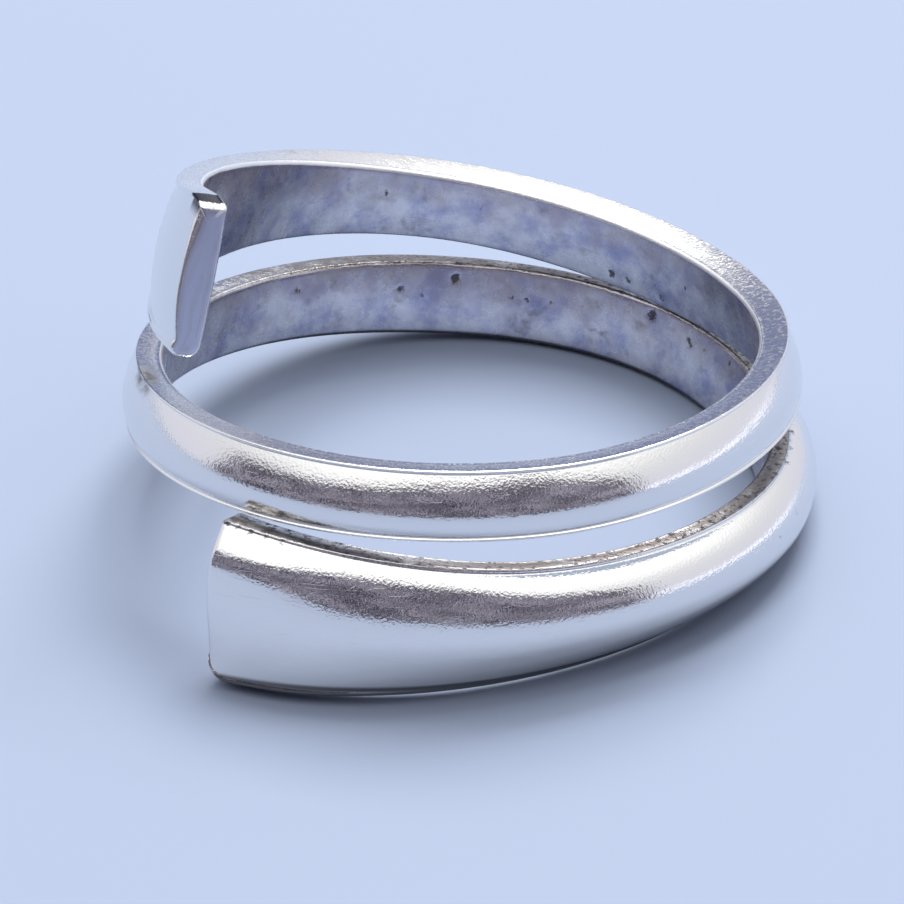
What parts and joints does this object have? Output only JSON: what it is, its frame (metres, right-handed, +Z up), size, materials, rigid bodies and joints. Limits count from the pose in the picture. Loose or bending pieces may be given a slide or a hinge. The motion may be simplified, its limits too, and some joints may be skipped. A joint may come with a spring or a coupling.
{
  "type": "wrap ring",
  "caption": "Plain silver wrap ring: one domed strip wound almost twice round the finger, with a flared blunt paddle at each end.",
  "frame": {"origin": "on the surface that the ring lies on, below the middle of its bounding box", "axes": "+Z up from the surface, -Y towards the side where the wide lower end shows, +X to the viewer's right"},
  "size_m": [0.0202, 0.0204, 0.0126],
  "materials": {
    "silver": "polished silver, lightly scratched and tarnished"
  },
  "bodies": {
    "root": {"band": "silver"}
  },
  "joints": []
}
